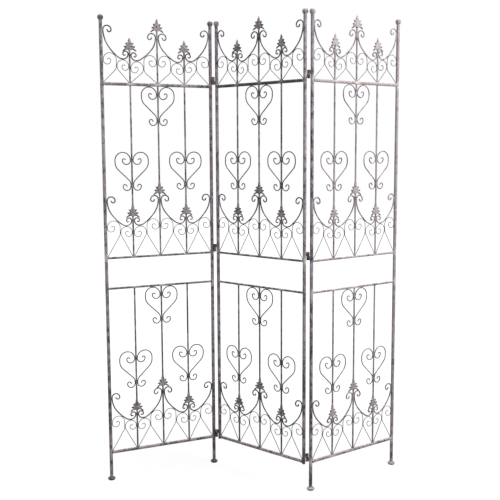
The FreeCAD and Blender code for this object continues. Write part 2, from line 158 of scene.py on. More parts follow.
def colour(name, description, code):
    return bpy.props.FloatVectorProperty(
        name=name, description=description, default=srgb(code), subtype="COLOR", size=3, min=0, max=1
    )


def length(name, description, default):
    return bpy.props.FloatProperty(
        name=name, description=description, default=default, min=0, subtype="DISTANCE", unit="LENGTH"
    )


class ScreenColours(bpy.types.PropertyGroup):
    """Colours of the screen's aged finish and of the studio."""

    charcoal: colour("Charcoal", "Dark coat that covers most of the metal", "37363d")
    mauve: colour("Mauve grey", "Grey wash rubbed over the dark coat", "8a838b")
    # Beige also serves as the painted highlight on upper sides.
    beige: colour("Beige", "Pale rubs on joints, edges and upper sides", "bdb3a9")
    rust: colour("Rust", "Brown bloom in the coat", "7b5f5b")
    plum: colour("Plum", "Purple brown of the cast leaves", "4d434a")
    # The hinges' near black is partly dark paint and partly painted shade of the gap between the posts, where the
    # knuckles sit.
    hinge_near_black: colour("Soot", "Near black of the hinges", "1c1b1f")
    steel: colour("Steel", "Bare steel of the hinge pins", "77767a")
    floor: colour("Floor", "Pale studio floor", "d2d2d2")


class ScreenSizes(bpy.types.PropertyGroup):
    """Sizes of the pieces that are modelled here."""

    leaf_height: length("Leaf height", "From a leaf's base to its tip", 52 * MM)
    leaf_half_width: length("Leaf half width", "From the bar's axis to the tips of the lowest lobes", 27 * MM)
    leaf_depth: length("Leaf depth", "Half depth of a lobe at its root", 3.0 * MM)
    ball_diameter: length("Ball diameter", "Ball on each post", 22 * MM)
    ball_collar: length("Ball collar", "Radius of the ring under the ball", 8 * MM)
    foot_diameter: length("Foot diameter", "Across the foot's rim", 29 * MM)
    foot_rim: length("Foot rim", "From the floor to the foot's widest place", 6.5 * MM)
    foot_height: length("Foot height", "From the floor to the foot's shoulder", 15 * MM)
    spigot: length("Spigot", "Length of a cap's or a foot's spigot in its post", 14 * MM)
    bead: length("Weld bead", "Half width of a bead between a rod and an upright", 2.1 * MM)
    wire_bead: length("Wire bead", "Half width of a bead on a wire", 1.3 * MM)


def colours():
    return bpy.context.scene.screen_colours


def sizes():
    return bpy.context.scene.screen_sizes


# Finishes

class Finish:
    """A material's node graph, with short calls that add and join its nodes."""

    def __init__(self, name):
        self.material = bpy.data.materials.new(name)
        self.material.use_nodes = True
        self.tree = self.material.node_tree
        self.tree.nodes.clear()
        self.place = self.add("ShaderNodeTexCoord").outputs["Object"]
        self.surface = self.add("ShaderNodeBsdfPrincipled")
        output = self.add("ShaderNodeOutputMaterial")
        self.join(self.surface.outputs["BSDF"], output.inputs["Surface"])

    def add(self, kind, **settings):
        node = self.tree.nodes.new(kind)
        for key, value in settings.items():
            setattr(node, key, value)
        return node

    def join(self, source, target):
        self.tree.links.new(source, target)

    def fill(self, socket, value):
        if isinstance(value, bpy.types.NodeSocket):
            self.join(value, socket)
        else:
            socket.default_value = value

    def grain(self, size, detail=4, roughness=0.6, stretch=(1, 1, 1), shift=0):
        """Noise with marks of about this size, in metres."""
        mapping = self.add("ShaderNodeMapping")
        mapping.inputs["Location"].default_value = (shift, shift * 1.7, shift * 0.6)
        mapping.inputs["Scale"].default_value = stretch
        self.join(self.place, mapping.inputs["Vector"])
        node = self.add("ShaderNodeTexNoise")
        node.inputs["Scale"].default_value = 1 / size
        node.inputs["Detail"].default_value = detail
        node.inputs["Roughness"].default_value = roughness
        self.join(mapping.outputs["Vector"], node.inputs["Vector"])
        return node.outputs["Fac"]

    def span(self, value, low, high, start=0.0, end=1.0):
        node = self.add("ShaderNodeMapRange", interpolation_type="SMOOTHSTEP")
        self.join(value, node.inputs["Value"])
        for name, number in (("From Min", low), ("From Max", high), ("To Min", start), ("To Max", end)):
            node.inputs[name].default_value = number
        return node.outputs["Result"]

    def sum(self, operation, first, second=0.0, clamp=True):
        node = self.add("ShaderNodeMath", operation=operation, use_clamp=clamp)
        self.fill(node.inputs[0], first)
        self.fill(node.inputs[1], second)
        return node.outputs["Value"]

    def cover(self, base, coat, share):
        """One colour laid over another."""
        node = self.add("ShaderNodeMix", data_type="RGBA")
        self.fill(node.inputs["Factor"], share)
        self.fill(node.inputs["A"], base if isinstance(base, bpy.types.NodeSocket) else (*base, 1))
        self.fill(node.inputs["B"], coat if isinstance(coat, bpy.types.NodeSocket) else (*coat, 1))
        return node.outputs["Result"]

    def facing_up(self):
        normal = self.add("ShaderNodeNewGeometry").outputs["Normal"]
        split = self.add("ShaderNodeSeparateXYZ")
        self.join(normal, split.inputs["Vector"])
        return split.outputs["Z"]

    def height(self):
        split = self.add("ShaderNodeSeparateXYZ")
        self.join(self.place, split.inputs["Vector"])
        return split.outputs["Z"]

    def bump(self, height, depth, strength):
        node = self.add("ShaderNodeBump")
        node.inputs["Strength"].default_value = strength
        node.inputs["Distance"].default_value = depth
        self.join(height, node.inputs["Height"])
        self.join(node.outputs["Normal"], self.surface.inputs["Normal"])

    def wear(self, colour, roughness, metallic=0.0):
        self.join(colour, self.surface.inputs["Base Color"])
        self.fill(self.surface.inputs["Roughness"], roughness)
        self.surface.inputs["Metallic"].default_value = metallic
        self.surface.inputs["Specular IOR Level"].default_value = 0.2
        return self.material


# How far each piece's paint has faded, from dark to pale, mixed with painted light: the right panel's pieces are
# painted paler as if lit from the right, and the middle panel's top rail is painted darker as painted shade

FADED_AND_LIT = {
    "left": {
        "left_post": 0.56, "right_post": 0.56, "top_rail": 0.5, "bottom_rail": 0.66, "mid_rails": 0.48, "bars": 0.48,
        "swags": 0.4, "hearts": 0.24, "wires": 0.26, "leaves": 0.46, "caps": 0.44, "feet": 0.1, "welds": 0.55,
    },
    "middle": {
        "left_post": 0.58, "right_post": 0.62, "top_rail": 0.16, "bottom_rail": 0.7, "mid_rails": 0.48, "bars": 0.48,
        "swags": 0.44, "hearts": 0.24, "wires": 0.26, "leaves": 0.34, "caps": 0.62, "welds": 0.5,
    },
    "right": {
        "left_post": 0.54, "right_post": 0.74, "top_rail": 0.88, "bottom_rail": 0.72, "mid_rails": 0.7, "bars": 0.7,
        "swags": 0.6, "hearts": 0.5, "wires": 0.4, "leaves": 0.66, "caps": 0.76, "feet": 0.75, "welds": 0.62,
    },
}
RAIL_SHIFTS = {"top_rail": 1.1, "mid_rails": 1.7, "bottom_rail": 2.9}


def near_levels(finish, ragged, levels):
    """One at these heights, fading over a ragged hand's breadth."""
    near = None
    height = finish.sum("MULTIPLY_ADD", ragged, 40 * MM, clamp=False)
    finish.join(finish.height(), height.node.inputs[2])
    for level in levels:
        gap = finish.sum("ABSOLUTE", finish.sum("SUBTRACT", height, level + 20 * MM, clamp=False), clamp=False)
        spot = finish.span(gap, 24 * MM, 4 * MM)
        near = spot if near is None else finish.sum("MAXIMUM", near, spot)
    return near


def near_uprights(finish, ragged, panel):
    """One where a panel's posts and bars stand, fading along its rails."""
    place = panel_matrix(panel)
    along = finish.add("ShaderNodeVectorMath", operation="DOT_PRODUCT")
    finish.join(finish.place, along.inputs[0])
    along.inputs[1].default_value = place.col[0].xyz
    start = place.col[0].xyz.dot(place.translation)
    shifted = finish.sum("MULTIPLY_ADD", ragged, 30 * MM, clamp=False)
    finish.join(along.outputs["Value"], shifted.node.inputs[2])
    offset = finish.sum("SUBTRACT", shifted, start + 15 * MM, clamp=False)
    gap = finish.sum("PINGPONG", offset, WIDTH / 8, clamp=False)
    return finish.span(gap, 22 * MM, 3 * MM)


def aged_paint(name, faded_and_lit, shift, levels=(), panel=None):
    """Dark coat under a grey wash, with pale rubs round the joints and a brown bloom, a painted highlight in beige on
    upper sides, and painted shade that darkens the coat towards the floor; its fading value also carries painted light.
    """
    finish = Finish(name)
    c = colours()
    patches = finish.grain(80 * MM, 3, 0.55, (1, 1, 0.6), shift)
    mottle = finish.grain(13 * MM, 6, 0.62, (1, 1, 0.6), shift + 3)
    speck = finish.grain(2.6 * MM, 5, 0.7, (1, 1, 0.7), shift + 5)
    bloom = finish.grain(60 * MM, 5, 0.6, (1, 1, 0.6), shift + 9)
    blend = finish.add("ShaderNodeMix", data_type="FLOAT")
    blend.inputs["Factor"].default_value = 0.3
    finish.join(mottle, blend.inputs["A"])
    finish.join(patches, blend.inputs["B"])
    # Painted shade: the grey wash thins towards the floor, so the coat is painted darker low down.
    wash = finish.sum("ADD", blend.outputs["Result"], finish.span(finish.height(), 0.0, 0.9, -0.06, 0), clamp=False)
    edge = 0.7 - 0.4 * faded_and_lit
    coat = finish.cover(c.charcoal, c.mauve, finish.span(wash, edge - 0.09, edge + 0.09))
    edge = 0.68 - 0.12 * faded_and_lit
    coat = finish.cover(coat, c.rust, finish.span(bloom, edge - 0.12, edge + 0.12, 0, 0.75))
    edge = 0.69 - 0.13 * faded_and_lit
    specks = finish.span(speck, edge - 0.05, edge + 0.11, 0, 0.75)
    wear_and_highlight = finish.sum("MAXIMUM", specks, finish.span(mottle, edge, edge + 0.1, 0, 0.6))
    # Painted highlight: beige on upward facing sides, stronger on paler pieces, as if lit from above; the specks and
    # joint rubs below are real wear.
    painted_highlight_up = finish.span(finish.facing_up(), 0.35, 0.95)
    top = finish.sum("MULTIPLY", painted_highlight_up, finish.span(mottle, 0.36, 0.56, 0.4 * faded_and_lit, 0.25 + faded_and_lit))
    wear_and_highlight = finish.sum("MAXIMUM", wear_and_highlight, top)
    joints = []
    if levels:
        joints.append(near_levels(finish, mottle, levels))
    if panel:
        joints.append(near_uprights(finish, mottle, panel))
    for near in joints:
        rub = finish.sum("MULTIPLY", near, finish.span(patches, 0.4, 0.62, 0, 0.2 + 0.8 * faded_and_lit))
        wear_and_highlight = finish.sum("MAXIMUM", wear_and_highlight, rub)
    coat = finish.cover(coat, c.beige, wear_and_highlight)
    finish.bump(speck, 0.35 * MM, 0.35)
    return finish.wear(coat, finish.span(mottle, 0.3, 0.7, 0.42, 0.68))


def cast_paint(name, faded_and_lit, shift):
    """Paint of a casting: a mauve middle with pale veins, darker plum lobes, and a painted highlight on upper sides."""
    finish = Finish(name)
    c = colours()
    grit = finish.grain(1.8 * MM, 6, 0.7, shift=shift)
    mottle = finish.grain(7 * MM, 6, 0.62, shift=shift + 4)
    sharp = finish.add("ShaderNodeNewGeometry").outputs["Pointiness"]
    outward = finish.add("ShaderNodeAttribute", attribute_name=LEAF_OUTWARD).outputs["Fac"]
    dark = finish.cover(c.plum, c.charcoal, finish.span(mottle, 0.42, 0.6))
    pale = finish.cover(c.mauve, c.beige, finish.span(grit, 0.46, 0.66, 0, 0.4 + 0.5 * faded_and_lit))
    edge = 0.58 - 0.26 * faded_and_lit
    middle = finish.sum("SUBTRACT", finish.span(mottle, edge - 0.1, edge + 0.1), finish.span(outward, 0.05, 0.5))
    coat = finish.cover(dark, pale, middle)
    rub = finish.span(mottle, 0.34, 0.6, 0, 0.2 + 0.6 * faded_and_lit)
    ridge = finish.sum("MULTIPLY", finish.span(sharp, 0.51, 0.58), rub)
    # Painted highlight: beige on the upward facing sides of the leaves, as if lit from above.
    top = finish.span(finish.facing_up(), 0.5, 1.0, 0, 0.5 * faded_and_lit)
    coat = finish.cover(coat, c.beige, finish.sum("MAXIMUM", ridge, top))
    finish.bump(grit, 0.4 * MM, 0.5)
    return finish.wear(coat, finish.span(grit, 0.3, 0.7, 0.48, 0.72))


def hinge_black(name):
    """Near black hinge iron, partly dark paint and partly painted shade of the gap between the posts, with mauve and
    brown patches and grey rubbed edges.
    """
    finish = Finish(name)
    c = colours()
    mottle = finish.grain(9 * MM, 6, 0.65)
    speck = finish.grain(1.6 * MM, 4, 0.6, shift=2)
    bloom = finish.grain(14 * MM, 5, 0.6, shift=7)
    coat = finish.cover(c.hinge_near_black, c.mauve, finish.span(mottle, 0.46, 0.6, 0, 0.8))
    coat = finish.cover(coat, c.rust, finish.span(bloom, 0.5, 0.66, 0, 0.6))
    coat = finish.cover(coat, c.beige, finish.span(speck, 0.6, 0.76, 0, 0.7))
    finish.bump(speck, 0.25 * MM, 0.4)
    return finish.wear(coat, finish.span(mottle, 0.3, 0.7, 0.4, 0.62))


def pin_steel(name):
    """Drawn steel with fine turning marks and a little brown."""
    finish = Finish(name)
    c = colours()
    drawn = finish.grain(0.8 * MM, 4, 0.6, (1, 1, 12))
    bloom = finish.grain(5 * MM, 5, 0.6, shift=6)
    coat = finish.cover(c.steel, c.charcoal, finish.span(drawn, 0.45, 0.7))
    coat = finish.cover(coat, c.rust, finish.span(bloom, 0.55, 0.75, 0, 0.6))
    finish.bump(drawn, 0.08 * MM, 0.3)
    return finish.wear(coat, finish.span(drawn, 0.3, 0.7, 0.32, 0.5), 0.8)


def paint_nodes(material, *nodes):
    for node in nodes:
        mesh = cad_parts[node].data
        mesh.materials.clear()
        mesh.materials.append(material)


# Pieces

def new_piece(name, bm, body, material, replaced=()):
    """Makes a finished piece of a bmesh and hangs it on its body."""
    mesh = bpy.data.meshes.new(name)
    bm.to_mesh(mesh)
    bm.free()
    mesh.materials.append(material)
    mesh.shade_smooth()
    piece = bpy.data.objects.new(name, mesh)
    bpy.context.scene.collection.objects.link(piece)
    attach(piece, body)
    if replaced:
        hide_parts(*replaced)
    return piece


def turn_profile(bm, profile, matrix, steps=32):
    """Spins a profile of radius and height about its axis and moves the closed shape into place."""
    corners = [bm.verts.new((radius, 0, height)) for radius, height in profile]
    edges = [bm.edges.new(pair) for pair in zip(corners, corners[1:])]
    bmesh.ops.spin(
        bm, geom=corners + edges, cent=(0, 0, 0), axis=(0, 0, 1), angle=math.tau, steps=steps,
        use_merge=True, use_normal_flip=False, use_duplicate=False,
    )
    bmesh.ops.remove_doubles(bm, verts=bm.verts, dist=0.002 * MM)
    bmesh.ops.recalc_face_normals(bm, faces=bm.faces)
    bmesh.ops.transform(bm, matrix=matrix, verts=bm.verts)


def add_turned(bm, profile, matrix):
    """Adds one turned shape to a piece."""
    turned = bmesh.new()
    turn_profile(turned, profile, matrix)
    mesh = bpy.data.meshes.new("turned")
    turned.to_mesh(mesh)
    turned.free()
    bm.from_mesh(mesh)
    bpy.data.meshes.remove(mesh)


def ball_profile():
    """Spigot, collar, neck and ball, from the bottom up, about the post's top."""
    s = sizes()
    radius = s.ball_diameter / 2
    top = cad_box[1][2] - POST_TOP
    centre = top - radius
    points = [(0, -s.spigot), (SPIGOT_RADIUS - SPIGOT_CHAMFER, -s.spigot)]
    points += [(SPIGOT_RADIUS, -s.spigot + SPIGOT_CHAMFER), (SPIGOT_RADIUS, 0)]
    points += [(s.ball_collar - 0.4 * MM, 0), (s.ball_collar, 0.4 * MM), (s.ball_collar - 0.1 * MM, 1.1 * MM)]
    start = math.asin((1.6 * MM - centre) / radius)
    for step in range(13):
        angle = start + (math.pi / 2 - start) * step / 12
        points.append((radius * math.cos(angle) if step < 12 else 0, centre + radius * math.sin(angle)))
    return points


def foot_profile():
    """Sole, bowl, rim, sloping top, shoulder and spigot, from the floor up."""
    s = sizes()
    rim = s.foot_diameter / 2
    sole = rim * 0.58
    brim = rim - 1.1 * MM
    brim_top = s.foot_rim + 2.5 * MM
    neck = 7.6 * MM
    neck_top = s.foot_height - 0.5 * MM
    spigot_top = s.foot_height + s.spigot
    points = [(0, 0), (sole, 0)]
    for step in range(1, 8):
        angle = math.pi / 2 * step / 7
        points.append((sole + (rim - sole) * math.sin(angle), s.foot_rim * (1 - math.cos(angle))))
    points += [(rim, s.foot_rim + 1.4 * MM), (rim - 0.4 * MM, s.foot_rim + 2.1 * MM), (brim, brim_top)]
    for step in range(1, 6):
        share = step / 6
        points.append((brim - (brim - neck) * share ** 0.8, brim_top + (neck_top - brim_top) * share))
    points += [(neck, neck_top), (neck - 0.5 * MM, s.foot_height), (SPIGOT_RADIUS, s.foot_height)]
    points += [(SPIGOT_RADIUS, spigot_top - SPIGOT_CHAMFER), (SPIGOT_RADIUS - SPIGOT_CHAMFER, spigot_top)]
    points.append((0, spigot_top))
    return points


def upright_ends(panel):
    """Where a panel's two posts stand."""
    return [Matrix.Translation((*middle_of(f"{panel}_panel_{side}_post").xy, 0)) for side in ("left", "right")]


# Cast leaves, in mm from the bar's axis and the leaf's base

LEAF_OUTWARD = "outward"
VEIN = 0.2
LEAF_STEM = ((8.5, 8.0, 5.6), (13.8, 16.0, 5.8), (23.9, 12.4, 5.6), (34.6, 7.0, 5.2))
POINTED_STEM = ((40.5, 6.4, 4.2), (47, 3.8, 2.8), (52.6, 0.9, 0.8))
THREADED_STEM = ((43, 5.4, 5.0), (51.5, 4.9, 4.9))
LEAF_LOBES = (
    (1, (
        (15.5, 9.8, 4.2, 3.4, 0.5), (19.5, 7.0, 4.0, 3.0, 1.1),
        (23.4, 4.2, 3.3, 2.5, 1.5), (26.9, 1.9, 1.6, 1.3, 1.2),
    )),
    (2, ((17, 19, 4.6, 3.0, 0.6), (19.9, 19.6, 2.9, 2.3, 1.0), (22.5, 20.3, 1.1, 1.1, 1.0))),
    (3, ((11.6, 30.4, 4.4, 2.8, 0.6), (13.9, 31.6, 2.6, 2.1, 0.9), (16.2, 32.9, 1.0, 1.0, 0.8))),
)


def side_of(number):
    return 0 if abs(number) < 0.01 * MM else math.copysign(1, number)


def stem_level(verts, height, across, deep):
    """Sets eight vertices round the stem and returns them by the way that each one faces.

    Where the stem is broad it thins beside the bar, which leaves a rib down its middle.
    """
    level = {}
    for vert in verts:
        way = (side_of(vert.co.x), side_of(vert.co.y))
        turn = math.atan2(way[1], way[0])
        rib = 1 if 0 in way else min(1, 0.35 + 0.85 * deep / across)
        vert.co = (across * math.cos(turn), deep * math.sin(turn) * rib, height)
        level[way] = vert
    return level


def loop_edges(level):
    verts = set(level.values())
    return list({edge for vert in verts for edge in vert.link_edges if edge.other_vert(vert) in verts})


def raise_level(bm, level, height, across, deep):
    made = bmesh.ops.extrude_edge_only(bm, edges=loop_edges(level))["geom"]
    return stem_level([g for g in made if isinstance(g, bmesh.types.BMVert)], height, across, deep)


def between(lower, upper, ways):
    """The stem's faces between two levels, for pairs of neighbouring ways."""
    found = []
    for first, second in ways:
        corners = {lower[first], lower[second], upper[first], upper[second]}
        found += [f for f in lower[first].link_faces if set(f.verts) == corners]
    return found


def draw_out(bm, faces):
    """Extrudes faces as one and returns the new faces and vertices."""
    made = bmesh.ops.extrude_face_region(bm, geom=faces)["geom"]
    bmesh.ops.delete(bm, geom=[f for f in faces if f.is_valid], context="FACES")
    drawn = [g for g in made if isinstance(g, bmesh.types.BMFace)]
    return drawn, [g for g in made if isinstance(g, bmesh.types.BMVert)]


def lobe(bm, faces, side, stations, outward):
    """Draws a lobe out of the stem along a bent line and returns its under edge.

    A station is the line's reach and height, the lobe's half breadth, its half depth and its lean to the front.
    """
    line = [Vector((side * reach, 0, height)) for reach, height, *_ in stations]
    under = []
    for number, (_, _, half, deep, lean) in enumerate(stations):
        faces, verts = draw_out(bm, faces)
        centre = sum((v.co for v in verts), Vector()) / len(verts)
        ahead = (line[min(number + 1, len(line) - 1)] - line[max(number - 1, 0)]).normalized()
        across = Vector((-ahead.z, 0, ahead.x)) * side
        for vert in verts:
            depth = side_of(vert.co.y - centre.y)
            rise = math.copysign(half if depth == 0 else half * VEIN, vert.co.z - centre.z)
            vert.co = line[number] + across * rise + Vector((0, depth * deep - lean, 0))
            vert[outward] = (number + 1) / len(stations)
            if depth == 0 and rise < 0:
                under.append(vert)
    return under


def barb(bm, under, move, shrink):
    """Draws a small point out of a lobe's under edge."""
    edge = bm.edges.get(under[:2])
    verts = draw_out(bm, list(edge.link_faces))[1]
    middle = sum((v.co for v in verts), Vector()) / len(verts)
    for vert in verts:
        vert.co = middle + (vert.co - middle) * shrink + Vector(move)


def leaf_shape(tops_bar):
    """A cast leaf about its bar's axis: a stem with three pairs of veined lobes, and a point or a collar at its top."""
    s = sizes()
    tall = s.leaf_height / 52
    wide = s.leaf_half_width / 27
    deep = s.leaf_depth / 3
    bm = bmesh.new()
    outward = bm.verts.layers.float.new(LEAF_OUTWARD)
    circle = bmesh.ops.create_circle(bm, segments=8, radius=MM)["verts"]
    levels = [stem_level(circle, 5.5 * tall, 5.2 * wide, 5.2 * deep)]
    top = POINTED_STEM if tops_bar else THREADED_STEM
    for height, across, depth in LEAF_STEM + top:
        levels.append(raise_level(bm, levels[-1], height * tall, across * wide, depth * deep))
    for start, stations in LEAF_LOBES:
        for side in (1, -1):
            faces = between(levels[start], levels[start + 1], (((side, -1), (side, 0)), ((side, 0), (side, 1))))
            scaled = [(r * wide, h * tall, half * tall, d * deep, lean * deep) for r, h, half, d, lean in stations]
            under = lobe(bm, faces, side, scaled, outward)
            barb(bm, under, (side * 1.2 * wide, -0.3 * deep, -1.5 * tall), 0.5)
    bore = BAR_RADIUS + 0.6 * MM
    if tops_bar:
        bmesh.ops.contextual_create(bm, geom=loop_edges(levels[-1]))
        inner = raise_level(bm, levels[0], 5.5 * tall, bore, bore)
        inner = raise_level(bm, inner, 26 * tall, bore, bore)
        bmesh.ops.contextual_create(bm, geom=loop_edges(inner))
    else:
        inner = raise_level(bm, levels[-1], 52 * tall, bore, bore)
        inner = raise_level(bm, inner, 5.5 * tall, bore, bore)
        bmesh.ops.bridge_loops(bm, edges=loop_edges(inner) + loop_edges(levels[0]))
    bmesh.ops.delete(bm, geom=[e for e in bm.edges if e.is_wire], context="EDGES")
    bmesh.ops.recalc_face_normals(bm, faces=bm.faces)
    mesh = bpy.data.meshes.new("leaf_shape")
    bm.to_mesh(mesh)
    bm.free()
    return mesh


def leaf_matrices(panel, row):
    """Place of each leaf over one rail, each turned a little on its bar as the castings are."""
    for number, (along, rise) in enumerate(zip(BARS, LEAF_RISES[row])):
        turn = math.radians(7) * math.sin(2.3 * number + 1.7 * PANELS.index(panel) + 0.9 * len(row))
        place = Matrix.Translation((along, 0, RAIL_UNDER[row] + rise))
        yield panel_matrix(panel) @ place @ Matrix.Rotation(turn, 4, "Z")


def add_mesh(bm, mesh, matrix):
    count = len(bm.verts)
    bm.from_mesh(mesh)
    bm.verts.ensure_lookup_table()
    bmesh.ops.transform(bm, matrix=matrix, verts=bm.verts[count:])


# Weld beads

def roughen(verts, centre, amount):
    """Makes a bead lumpy, in a way that is the same each time."""
    for vert in verts:
        out = vert.co - centre
        vert.co += out * amount * noise.noise(vert.co / (2.4 * MM))


def bead(bm, panel, along, height, half_width, half_depth, half_height):
    matrix = panel_matrix(panel) @ Matrix.Translation((along, 0, height))
    scale = Matrix.Diagonal((half_width, half_depth, half_height, 1))
    verts = bmesh.ops.create_uvsphere(bm, u_segments=8, v_segments=5, radius=1, matrix=matrix @ scale)["verts"]
    roughen(verts, matrix.translation, 0.35)


def collar(bm, matrix, wide, narrow, depth):
    """A fillet of weld metal round the end of a rail or a bar."""
    made = bmesh.ops.create_cone(
        bm, cap_ends=True, cap_tris=False, segments=12, radius1=wide, radius2=narrow, depth=depth,
        matrix=matrix @ Matrix.Translation((0, 0, depth / 2)),
    )["verts"]
    roughen(made, matrix.translation, 0.16)


def both_sides(places):
    """Places of a half panel and their mirror images."""
    for along, height in places:
        yield along * MM, height * MM
        yield WIDTH - along * MM, height * MM


def rod_beads(bm, panel):
    """Beads where swags, hearts and wires meet uprights, rails and each other."""
    s = sizes()
    for row, rail in RAIL_UNDER.items():
        kind = "crest" if row == "crest" else "lattice"
        foot = RAIL_UNDER_RADIUS[row] / MM + 0.6
        joints = (
            (SWAG_TO_UPRIGHT[kind], s.bead, ROD_RADIUS * 1.12, 4.6 * MM),
            (WIRE_TO_UPRIGHT[kind], s.wire_bead, WIRE_RADIUS * 1.2, 3.0 * MM),
            (WIRE_TO_SWAG[kind], s.wire_bead, WIRE_RADIUS * 1.25, s.wire_bead),
            (WIRE_TO_WIRE[kind], s.wire_bead, WIRE_RADIUS * 1.1, 4.2 * MM),
            ([(place, foot) for place in WIRE_FEET], 2.4 * MM, 2.2 * MM, s.wire_bead),
        )
        for places, half_width, half_depth, half_length in joints:
            for along, height in both_sides(places):
                bead(bm, panel, along, rail + height, half_width, half_depth, half_length)
    for row, (rail, radius) in RAIL_OVER.items():
        under = rail - radius
        ties = [(bar, RAIL_UNDER[row] + height * MM) for bar in (BARS[0], BARS[2]) for height in HEART_TO_SIDE_BAR[row]]
        ties += [(BARS[1], under - drop * MM) for drop in HEART_UNDER_RAIL]
        for bar, height in ties:
            for side in (-1, 1):
                bead(bm, panel, bar + side * BAR_RADIUS, height, s.bead, HEART_ROD_RADIUS * 1.15, 5.2 * MM)
        for along in (HEART_TOP * MM, WIDTH - HEART_TOP * MM):
            bead(bm, panel, along, under, 4.2 * MM, HEART_ROD_RADIUS, s.wire_bead)


def rail_collars(bm, panel):
    """Fillets where rails meet posts and bars meet rails."""
    place = panel_matrix(panel)
    rails = (
        (TOP_RAIL, END_RAIL_RADIUS, (1, -1)), (UPPER_MID_RAIL, MID_RAIL_RADIUS, (1,)),
        (LOWER_MID_RAIL, MID_RAIL_RADIUS, (-1,)), (BOTTOM_RAIL, END_RAIL_RADIUS, (1,)),
    )
    for height, radius, _ in rails:
        for along, turn in ((0, math.pi / 2), (WIDTH, -math.pi / 2)):
            start = place @ Matrix.Translation((along, 0, height)) @ Matrix.Rotation(turn, 4, "Y")
            collar(bm, start @ Matrix.Translation((0, 0, 2.6 * MM)), radius + 2.0 * MM, radius * 0.99, 6.4 * MM)
    for height, radius, ways in rails:
        for bar in BARS:
            for way in ways:
                start = place @ Matrix.Translation((bar, 0, height))
                if way < 0:
                    start = start @ Matrix.Rotation(math.pi, 4, "X")
                start = start @ Matrix.Translation((0, 0, radius * 0.55))
                collar(bm, start, BAR_RADIUS + 1.7 * MM, BAR_RADIUS * 0.99, radius * 0.45 + 2.4 * MM)


# Operators

class SCREEN_OT_paint_frame(bpy.types.Operator):
    """Paint the posts, rails and bars of the three panels"""

    bl_idname = "screen.paint_frame"
    bl_label = "Paint posts, rails and bars"

    def execute(self, context):
        levels = (BOTTOM_RAIL, LOWER_MID_RAIL, UPPER_MID_RAIL, TOP_RAIL)
        for number, panel in enumerate(PANELS):
            faded_and_lit = FADED_AND_LIT[panel]
            shift = number * 2.7
            for post in ("left_post", "right_post"):
                paint_nodes(aged_paint(f"{panel} {post} paint", faded_and_lit[post], shift, levels), f"{panel}_panel_{post}")
            for rail, more in RAIL_SHIFTS.items():
                paint = aged_paint(f"{panel} {rail} paint", faded_and_lit[rail], shift + more, panel=panel)
                paint_nodes(paint, f"{panel}_panel_{rail}")
            paint = aged_paint(f"{panel} bar paint", faded_and_lit["bars"], shift + 2.3, levels)
            paint_nodes(paint, *(f"{panel}_panel_{row}_bars" for row in ROWS))
        return {"FINISHED"}


class SCREEN_OT_paint_bent_rods(bpy.types.Operator):
    """Paint the swags and the scroll hearts"""

    bl_idname = "screen.paint_bent_rods"
    bl_label = "Paint swags and scroll hearts"

    def execute(self, context):
        for number, panel in enumerate(PANELS):
            paint = aged_paint(f"{panel} swag paint", FADED_AND_LIT[panel]["swags"], number * 3.1 + 0.4)
            paint_nodes(paint, *(f"{panel}_panel_{row}_swags" for row in ROWS))
            paint = aged_paint(f"{panel} heart paint", FADED_AND_LIT[panel]["hearts"], number * 3.1 + 1.2)
            paint_nodes(paint, f"{panel}_panel_scroll_hearts")
        return {"FINISHED"}


class SCREEN_OT_paint_wire_hearts(bpy.types.Operator):
    """Paint the thin wire hearts"""

    bl_idname = "screen.paint_wire_hearts"
    bl_label = "Paint wire hearts"

    def execute(self, context):
        for number, panel in enumerate(PANELS):
            paint = aged_paint(f"{panel} wire paint", FADED_AND_LIT[panel]["wires"], number * 3.7 + 0.8)
            paint_nodes(paint, *(f"{panel}_panel_{row}_wire_hearts" for row in ROWS))
        return {"FINISHED"}


class SCREEN_OT_cast_leaves(bpy.types.Operator):
    """Cast the leaves that top the crest bars and sit on the lattice bars"""

    bl_idname = "screen.cast_leaves"
    bl_label = "Cast leaves"

    def execute(self, context):
        pointed = leaf_shape(True)
        threaded = leaf_shape(False)
        for number, panel in enumerate(PANELS):
            bm = bmesh.new()
            for row in LEAF_RISES:
                for matrix in leaf_matrices(panel, row):
                    add_mesh(bm, pointed if row == "crest" else threaded, matrix)
            paint = cast_paint(f"{panel} leaf paint", FADED_AND_LIT[panel]["leaves"], number * 1.9)
            body = f"{panel}_panel"
            piece = new_piece(f"{panel}_cast_leaves", bm, body, paint, (f"{panel}_panel_leaves",))
            rounding = piece.modifiers.new("Rounding", "SUBSURF")
            rounding.levels = rounding.render_levels = 2
        bpy.data.meshes.remove(pointed)
        bpy.data.meshes.remove(threaded)
        return {"FINISHED"}


class SCREEN_OT_turn_caps(bpy.types.Operator):
    """Turn the balls that cap the posts"""

    bl_idname = "screen.turn_caps"
    bl_label = "Turn ball caps"

    def execute(self, context):
        for number, panel in enumerate(PANELS):
            bm = bmesh.new()
            for matrix in upright_ends(panel):
                add_turned(bm, ball_profile(), matrix @ Matrix.Translation((0, 0, POST_TOP)))
            paint = aged_paint(f"{panel} cap paint", FADED_AND_LIT[panel]["caps"], number * 1.3 + 0.2)
            body = f"{panel}_panel"
            new_piece(f"{panel}_turned_caps", bm, body, paint, (f"{panel}_panel_ball_caps",))
        return {"FINISHED"}


class SCREEN_OT_turn_feet(bpy.types.Operator):
    """Turn the bun feet under the outer panels"""

    bl_idname = "screen.turn_feet"
    bl_label = "Turn feet"

    def execute(self, context):
        for number, panel in enumerate(("left", "right")):
            bm = bmesh.new()
            for matrix in upright_ends(panel):
                add_turned(bm, foot_profile(), matrix @ Matrix.Translation((0, 0, FOOT_BASE)))
            paint = aged_paint(f"{panel} foot paint", FADED_AND_LIT[panel]["feet"], number * 1.3 + 0.7)
            body = f"{panel}_panel"
            new_piece(f"{panel}_turned_feet", bm, body, paint, (f"{panel}_panel_feet",))
        return {"FINISHED"}


